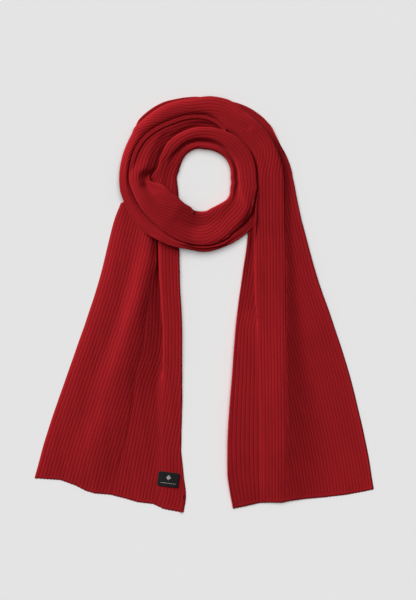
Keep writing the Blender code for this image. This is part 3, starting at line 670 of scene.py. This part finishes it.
def leftTailRow(s):
    at = valuesAt(leftTail, s)
    sink, low = knit["sink"], knit["thickness"] + 0.1
    inner, fold, outer, tilt = at.inner, at.fold, at.outer, at.tilt
    hem, foldTop, top, plain = at.hemTop - sink, at.foldTop - sink, at.layerTop - sink, at.plain - sink
    back = fold - at.foldPleat
    border = max(at.border, fold + 4)
    side = [(inner + 6, 1.1), (inner + 1.2, 0.9), (inner, mix(0.9, hem, 0.5)), (inner + 1.2, hem + 0.15),
            (inner + 5, hem), (mix(inner + 5, fold, 0.5), mix(hem, foldTop, 0.55) + 0.1)]
    onLow = low + knit["fold"]
    shut = [(fold - 3, foldTop), (fold - 0.8, mix(onLow, foldTop, 0.8)), (fold, mix(onLow, foldTop, 0.45)),
            (fold - min(3, 0.4 * at.foldPleat), onLow), (back, onLow - 0.3), (back, low + 0.3),
            (fold + 1.5, low)]
    spread = [(fold + k, mix(low, foldTop, h)) for k, h in (
        (-6, 1.0), (-3, 0.86), (0, 0.6), (2.5, 0.36), (5, 0.17), (7, 0.06), (10, 0.0))]
    first = blend(shut, spread, smooth(s, *at.foldOpens))
    foot = first[-1][0]
    toe = max(border - at.layerFlank, foot + 3.5)
    crest = border + at.layerCrest
    room = toe - foot
    base = low + tilt
    second = [(foot + 0.4 * room, low + 0.42 * tilt), (foot + 0.75 * room, low + 0.8 * tilt),
              (toe - 1.2, base), (toe + 0.8, base + 0.25)]
    second += [(mix(toe, crest, k), mix(base, top, h)) for k, h in (
        (0.13, 0.24), (0.28, 0.47), (0.45, 0.69), (0.63, 0.87), (0.82, 0.975), (1.0, 1.0))]
    bank = max(at.bank, crest + 14)
    edgeIn = min(26, 0.5 * (outer - bank))
    panel = [(mix(crest, bank, 0.3), mix(top, plain, 0.17)), (mix(crest, bank, 0.65), mix(top, plain, 0.66)),
             (bank, mix(top, plain, 0.97)), (mix(bank, outer - edgeIn, 0.5), plain),
             (outer - edgeIn, plain - 0.1), (outer - 0.62 * edgeIn, mix(low, plain, 0.82)),
             (outer - 0.3 * edgeIn, mix(low, plain, 0.45)), (outer - 1.6, low), (outer, 1.2),
             (outer - 0.3, 0.5)]
    row = Row(s, side + first + second + panel, at.pitch)
    # points: 2 inner edge, 8 fold's edge, 12 its foot, 15 before the layer's toe, 16 after it, 32 end
    lastRib = float(at.ribs[1])
    ribFold = at.ribAtEdge + row.ribsIn(2, 8)
    ribFoot = max(at.ribAtFoot, ribFold + 0.35 * row.ribsIn(8, 12))
    ribBorder = lastRib - row.ribsIn(16, 32)
    row.pin({0: 0.0, 1: max(at.ribAtEdge - row.ribsIn(1, 2), 0.2), 2: at.ribAtEdge, 8: ribFold, 12: ribFoot,
             15: min(ribFoot + row.ribsIn(12, 15), ribBorder - 0.35), 16: ribBorder, 32: lastRib})
    return row


knitLook = {
    "colour": (0.266, 0.0060, 0.0096, 1.0),
    # painted shade: the darker colour the knit turns to down in the grooves
    "deep": (0.218, 0.0046, 0.0073, 1.0),  # down in the grooves
    "chevron": 1.3,  # slant of the stitches, in stitches across half a rib
    "fuzz": {"Fibre Scale": 1400.0, "Fibre Strength": 0.5, "Dye Scale": 9.0, "Dye Strength": 0.25},
    "bump": {"Strength": 0.35, "Distance": 0.0009},
    "gloss": {"Roughness": 0.9, "Specular IOR Level": 0.08, "Sheen Weight": 0.08, "Sheen Roughness": 0.6,
              "Sheen Tint": (1.0, 0.25, 0.25, 1.0)},
}

patch = {
    "at": (-60.9, -298.2),  # middle, mm
    "size": (35.8, 25.2),
    "corner": 3.0,
    "turn": -7.0,  # degrees
    "thickness": 0.8,
    "clear": 0.3,  # over the ribs
    "rings": (1.0, 0.985, 0.96, 0.92, 0.84, 0.74, 0.62, 0.5, 0.37, 0.24, 0.12),
    "edgeDrop": (0.5, 0.2, 0.05),  # of the outer rings, for a soft rim
    "perCorner": 7,  # points of the outline
    "perSide": (12, 8),
    "cloth": (0.0042, 0.0040, 0.0044),
    "edgeThread": (0.006, 0.0056, 0.006),
    "markThread": (0.55, 0.54, 0.53),
    "weave": {"cloth": 6.0, "thread": 9.0},  # threads, radians a mm
    "fuzz": {"Fibre Scale": 2200.0, "Fibre Strength": 0.6, "Dye Scale": 60.0, "Dye Strength": 0.3},
    "bump": {"Strength": 0.4, "Distance": 0.0002},
    "gloss": {"Roughness": 0.8, "Specular IOR Level": 0.25},
    "seamInset": 1.5,
    "seam": (1.45, (1.3, 0.42, 0.3)),  # pitch of the stitches and size of one
    "mark": (1.25, (1.35, 0.62, 0.34)),
    "lozenge": {"at": 3.4, "half": 3.4, "step": 0.85, "rows": 4, "tip": 1.2},
    "dashes": {"at": -6.2, "first": -11.2, "step": 3.2, "half": 1.15, "count": 8},
}


def shaderMaterial(name):
    mat = bpy.data.materials.new(name)
    mat.use_nodes = True
    return mat, mat.node_tree, mat.node_tree.nodes["Principled BSDF"]


def threadFuzzGroup():
    # loose fibres and uneven dye, used by the knit and by the patch
    tree, given, result = newTree("threadFuzz", "Shader", {
        "Fibre Scale": "Float", "Fibre Strength": "Float", "Dye Scale": "Float", "Dye Strength": "Float"},
        {"Shade": "Float", "Height": "Float"})
    calc = partial(compute, tree)
    spot = addNode(tree, "ShaderNodeTexCoord").outputs["Object"]
    shade = 1.0
    for kind, detail, roughness in (("Dye", 2.0, 0.5), ("Fibre", 3.0, 0.65)):
        noise = addNode(tree, "ShaderNodeTexNoise", {"Vector": spot, "Scale": given[kind + " Scale"],
                                                     "Detail": detail, "Roughness": roughness}).outputs[0]
        shade = calc("MULTIPLY_ADD", calc("SUBTRACT", noise, 0.5), given[kind + " Strength"], shade)
    tree.links.new(shade, result["Shade"])
    tree.links.new(noise, result["Height"])
    return tree


def finishCloth(tree, shader, colour, shade, relief, look):
    tinted = addNode(tree, "ShaderNodeVectorMath", {0: colour, "Scale": shade}, operation="SCALE")
    bump = addNode(tree, "ShaderNodeBump", {"Height": relief, **look["bump"]})
    tree.links.new(tinted.outputs[0], shader.inputs["Base Color"])
    tree.links.new(bump.outputs[0], shader.inputs["Normal"])
    for key, value in look["gloss"].items():
        shader.inputs[key].default_value = value


def knitMaterial(fuzz):
    mat, tree, shader = shaderMaterial("redKnit")
    calc = partial(compute, tree)
    uv = addNode(tree, "ShaderNodeUVMap", uv_map="stitches").outputs[0]
    parts = addNode(tree, "ShaderNodeSeparateXYZ", {0: uv}).outputs
    phase = calc("SUBTRACT", calc("FRACT", calc("ADD", parts[0], 0.5)), 0.5)
    aside = calc("MULTIPLY", calc("ABSOLUTE", phase), 2.0)  # 0 on the crest, 1 in the groove
    slant = calc("MULTIPLY_ADD", aside, knitLook["chevron"], parts[1])
    loops = calc("ABSOLUTE", calc("SINE", calc("MULTIPLY", slant, math.pi)))
    legs = calc("ABSOLUTE", calc("SINE", calc("MULTIPLY", aside, 1.1 * math.pi)))
    stitch = calc("MULTIPLY", calc("POWER", loops, 0.7), calc("MULTIPLY_ADD", legs, 0.5, 0.5))
    threads = addNode(tree, "ShaderNodeGroup", knitLook["fuzz"], node_tree=fuzz).outputs
    # painted shade: towards the bottom of each groove the colour turns to the darker deep colour
    grooveShadeMask = addNode(tree, "ShaderNodeMapRange", {"Value": aside, "From Min": 0.55, "From Max": 1.0},
                       interpolation_type="SMOOTHSTEP").outputs[0]
    base = addNode(tree, "ShaderNodeMix", {0: grooveShadeMask, 6: knitLook["colour"], 7: knitLook["deep"]},
                   data_type="RGBA").outputs[2]
    # painted shade between the stitch loops: the colour is darker between them and lighter on them, times the
    # fibre and dye tone
    shade = calc("MULTIPLY", threads["Shade"], calc("MULTIPLY_ADD", stitch, 0.3, 0.82))
    relief = calc("MULTIPLY_ADD", threads["Height"], 0.8, stitch)
    finishCloth(tree, shader, base, shade, relief, knitLook)
    return mat


def wovenMaterial(name, colour, fuzz, weave):
    mat, tree, shader = shaderMaterial(name)
    calc = partial(compute, tree)
    uv = addNode(tree, "ShaderNodeUVMap", uv_map="weave").outputs[0]
    parts = addNode(tree, "ShaderNodeSeparateXYZ", {0: uv}).outputs
    warp, weft = (calc("SINE", calc("MULTIPLY", calc(way, parts[0], parts[1]), weave))
                  for way in ("ADD", "SUBTRACT"))
    cross = calc("MULTIPLY", warp, weft)
    threads = addNode(tree, "ShaderNodeGroup", patch["fuzz"], node_tree=fuzz).outputs
    shade = calc("MULTIPLY", threads["Shade"], calc("MULTIPLY_ADD", cross, 0.25, 1.0))
    finishCloth(tree, shader, colour, shade, calc("ADD", cross, threads["Height"]), patch)
    return mat


def evenStations(first, last, step):
    steps = max(1, round((last - first) / step))
    return [first + (last - first) * i / steps for i in range(steps + 1)]


def tailStations(hem, seam):
    # rows of a tail: close together at the hem, then evenly to the seam
    near = hemEdge["rows"]
    ways = list(near) + evenStations(near[-1], abs(seam - hem), knit["rowStep"])[1:]
    return sorted(hem + math.copysign(way, seam - hem) for way in ways)


relief, fuzz = ribReliefTree(), threadFuzzGroup()
cloth = partial(clothShell, relief, knitMaterial(fuzz))
rowStep, turnStep = knit["rowStep"], knit["turnStep"]
outerStations = evenStations(rightSeam, 0.0, rowStep) + evenStations(0.0, outerEnd, turnStep)[1:]
frontStations = evenStations(frontStart, frontEnd, turnStep)
innerStations = evenStations(frontEnd, turnEnd, turnStep) + evenStations(turnEnd, leftSeam, rowStep)[1:]
rightTailRow = partial(outerStrandRow, onTail=True)
tailRight = cloth("scarfTailRight", rightTailRow, tailStations(rightHem, rightSeam), rightTail, rightHem)
loopOuter = cloth("scarfLoopOuter", outerStrandRow, outerStations, outerLoop)
loopFront = cloth("scarfLoopFront", innerStrandRow, frontStations, innerLoop)
loopInner = cloth("scarfLoopInner", innerStrandRow, innerStations, innerLoop)
tailLeft = cloth("scarfTailLeft", leftTailRow, tailStations(leftHem, leftSeam), leftTail, leftHem)


def surfaceUnder(obj):
    # smooth height of a cloth, in mm, at a place in mm
    mesh = obj.data
    tree = BVHTree.FromPolygons([v.co for v in mesh.vertices], [p.vertices for p in mesh.polygons])
    around = [(0, 0)] + [(4 * math.cos(k * math.pi / 6), 4 * math.sin(k * math.pi / 6)) for k in range(12)]

    def heightAt(x, y):
        hits = [tree.ray_cast(Vector(((x + dx) * mm, (y + dy) * mm, 1.0)), Vector((0, 0, -1)))[0]
                for dx, dy in around]
        found = [hit.z / mm for hit in hits if hit is not None]
        return sum(found) / len(found)
    return heightAt


def patchPoint(u, v, heightAt, over):
    # world place, in metres, of a place on the patch
    c, s = math.cos(math.radians(patch["turn"])), math.sin(math.radians(patch["turn"]))
    x, y = patch["at"][0] + u * c - v * s, patch["at"][1] + u * s + v * c
    return x * mm, y * mm, (heightAt(x, y) + patch["clear"] + over) * mm


def roundedOutline(inset):
    # closed outline of the patch, this far inside its edge
    radius = max(patch["corner"] - inset, 0.8)
    halfW, halfH = (size / 2 - inset - radius for size in patch["size"])
    arcs = []
    for k, (cx, cy) in enumerate(((halfW, halfH), (-halfW, halfH), (-halfW, -halfH), (halfW, -halfH))):
        angles = [math.pi / 2 * (k + i / (patch["perCorner"] - 1)) for i in range(patch["perCorner"])]
        arcs.append([(cx + radius * math.cos(a), cy + radius * math.sin(a)) for a in angles])
    outline = []
    for k, arc in enumerate(arcs):
        count, ahead = patch["perSide"][k % 2], arcs[(k + 1) % 4][0]
        outline += arc + [(mix(arc[-1][0], ahead[0], i / count), mix(arc[-1][1], ahead[1], i / count))
                          for i in range(1, count)]
    return outline


def patchCloth(heightAt, finish):
    outline = roundedOutline(0.0)
    count, rings = len(outline), len(patch["rings"])
    points, uvs = [], []
    for side in (1, 0):
        for k, share in enumerate(patch["rings"]):
            drop = patch["edgeDrop"][k] if side and k < len(patch["edgeDrop"]) else 0.0
            uvs += [(u * share, v * share) for u, v in outline]
            points += [patchPoint(u, v, heightAt, side * patch["thickness"] - drop) for u, v in uvs[-count:]]
    at = lambda side, k, i: ((0 if side else rings) + k) * count + i % count
    faces = []
    for k in range(rings - 1):
        for i in range(count):
            faces.append((at(1, k, i), at(1, k, i + 1), at(1, k + 1, i + 1), at(1, k + 1, i)))
            faces.append((at(0, k, i), at(0, k + 1, i), at(0, k + 1, i + 1), at(0, k, i + 1)))
    faces += [(at(0, 0, i), at(0, 0, i + 1), at(1, 0, i + 1), at(1, 0, i)) for i in range(count)]
    faces.append(tuple(at(1, rings - 1, i) for i in range(count)))
    faces.append(tuple(at(0, rings - 1, -i - 1) for i in range(count)))
    obj = newObject("labelPatch", points, [], faces)
    addUvs(obj.data, "weave", uvs)
    obj.data.materials.append(finish)
    obj.data.shade_smooth()
    return obj


def stitchRowTree():
    # stitches one behind the other along the lines of a mesh
    tree, given, result = newTree("stitchRows", "Geometry", {
        "Geometry": "Geometry", "Pitch": "Float", "Thread": "Vector", "Finish": "Material"},
        {"Geometry": "Geometry"})
    line = addNode(tree, "GeometryNodeMeshToCurve", {"Mesh": given["Geometry"]})
    dots = addNode(tree, "GeometryNodeResampleCurve", {"Curve": line.outputs[0], "Length": given["Pitch"]},
                   mode="LENGTH")
    along = addNode(tree, "GeometryNodeInputTangent")
    turned = addNode(tree, "FunctionNodeAlignRotationToVector", {"Vector": along.outputs[0]}, axis="X",
                     pivot_axis="Z")
    thread = addNode(tree, "GeometryNodeMeshIcoSphere", {"Radius": 0.5, "Subdivisions": 2})
    placed = addNode(tree, "GeometryNodeInstanceOnPoints", {
        "Points": dots.outputs[0], "Instance": thread.outputs[0], "Rotation": turned.outputs[0],
        "Scale": given["Thread"]})
    endTree(tree, placed.outputs[0], given["Finish"], result[0])
    return tree


def stitchPiece(name, lines, closed, heightAt, tree, stitches, finish):
    pitch, thread = stitches
    points, edges = [], []
    for line in lines:
        first, last = len(points), len(points) + len(line) - 1
        points += [patchPoint(u, v, heightAt, patch["thickness"] + 0.05) for u, v in line]
        edges += [(i, i + 1) for i in range(first, last)] + [(last, first)] * closed
    obj = newObject(name, points, edges, [])
    bakeModifier(obj, tree, {"Pitch": pitch * mm, "Thread": [size * mm for size in thread], "Finish": finish})
    obj.data.shade_smooth()
    print(name, "stitches:", len(obj.data.polygons), "faces")
    return obj


def markLines():
    # a plain lozenge of satin rows over a row of equal dashes
    lozenge, dashes = patch["lozenge"], patch["dashes"]
    rows = []
    for k in range(-lozenge["rows"], lozenge["rows"] + 1):
        share = 1 - abs(k) / (lozenge["rows"] + lozenge["tip"])
        rows.append((0.0, lozenge["at"] + lozenge["step"] * k, lozenge["half"] * share))
    rows += [(dashes["first"] + dashes["step"] * k, dashes["at"], dashes["half"])
             for k in range(dashes["count"])]
    return [[(u - half, v), (u + half, v)] for u, v, half in rows]


heightAt = surfaceUnder(tailLeft)
stitchRows = stitchRowTree()
blackWeave = wovenMaterial("blackWeave", patch["cloth"], fuzz, patch["weave"]["cloth"])
blackThread = wovenMaterial("blackThread", patch["edgeThread"], fuzz, patch["weave"]["thread"])
paleThread = wovenMaterial("paleThread", patch["markThread"], fuzz, patch["weave"]["thread"])
labelPatch = patchCloth(heightAt, blackWeave)
labelSeam = stitchPiece("labelSeam", [roundedOutline(patch["seamInset"])], True, heightAt, stitchRows,
                        patch["seam"], blackThread)
labelMark = stitchPiece("labelMark", markLines(), False, heightAt, stitchRows, patch["mark"], paleThread)

studio = {
    "floor": (0.80, 0.80, 0.80),
    "half": 40.0,  # m
    "world": 0.22,
    "key": {"azimuth": 138, "elevation": 21, "spread": 38, "power": 6.50},  # along the cloth
    "overhead": {"azimuth": 100, "elevation": 72, "spread": 70, "power": 2.476},  # on the floor
}


def softLight(name, receivers, azimuth, elevation, spread, power):
    # far and wide, so that the light is the same all over; it falls on its receivers only
    lamp = bpy.data.lights.new(name, "SUN")
    lamp.angle = math.radians(spread)
    lamp.energy = power
    obj = bpy.data.objects.new(name, lamp)
    a, e = math.radians(azimuth), math.radians(elevation)
    obj.location = (2 * math.cos(e) * math.cos(a), 2 * math.cos(e) * math.sin(a), 2 * math.sin(e))
    obj.rotation_euler = (0.0, math.pi / 2 - e, a)
    scene.collection.objects.link(obj)
    lit = bpy.data.collections.new(name + "Receivers")
    for receiver in receivers:
        lit.objects.link(receiver)
    obj.light_linking.receiver_collection = lit


half = studio["half"]
floor = newObject("studioFloor", [(-half, -half, 0), (half, -half, 0), (half, half, 0), (-half, half, 0)], [],
                  [(0, 1, 2, 3)])
floorMat, _, floorShader = shaderMaterial("palePaper")
for key, value in (("Base Color", (*studio["floor"], 1.0)), ("Roughness", 0.9), ("Specular IOR Level", 0.0)):
    floorShader.inputs[key].default_value = value
floor.data.materials.append(floorMat)
cloths = [tailRight, loopOuter, loopFront, loopInner, tailLeft, labelPatch, labelSeam, labelMark]
softLight("keyLight", cloths, **studio["key"])
softLight("overheadLight", [floor], **studio["overhead"])
world = bpy.data.worlds.new("studioLight")
world.use_nodes = True
background = world.node_tree.nodes["Background"].inputs
background[0].default_value, background[1].default_value = (1, 1, 1, 1), studio["world"]
scene.world = world
scene.view_settings.view_transform = "Standard"

lens = bpy.data.cameras.new("topCamera")
lens.sensor_width = 36.0
lens.lens = lens.sensor_width * camera["distance"] / camera["frameHeight"]
view = bpy.data.objects.new("topCamera", lens)
view.location = (camera["at"][0] * mm, camera["at"][1] * mm, camera["distance"])
scene.collection.objects.link(view)
scene.camera = view
print("studio set")

for piece, node in ((tailRight, "tail_right"), (loopOuter, "loop_outer"), (loopFront, "loop_front"),
                    (loopInner, "loop_inner"), (tailLeft, "tail_left")):
    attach(piece, "root")
    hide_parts(node)
for piece in (labelPatch, labelSeam, labelMark):
    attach(piece, "root")
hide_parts("label")
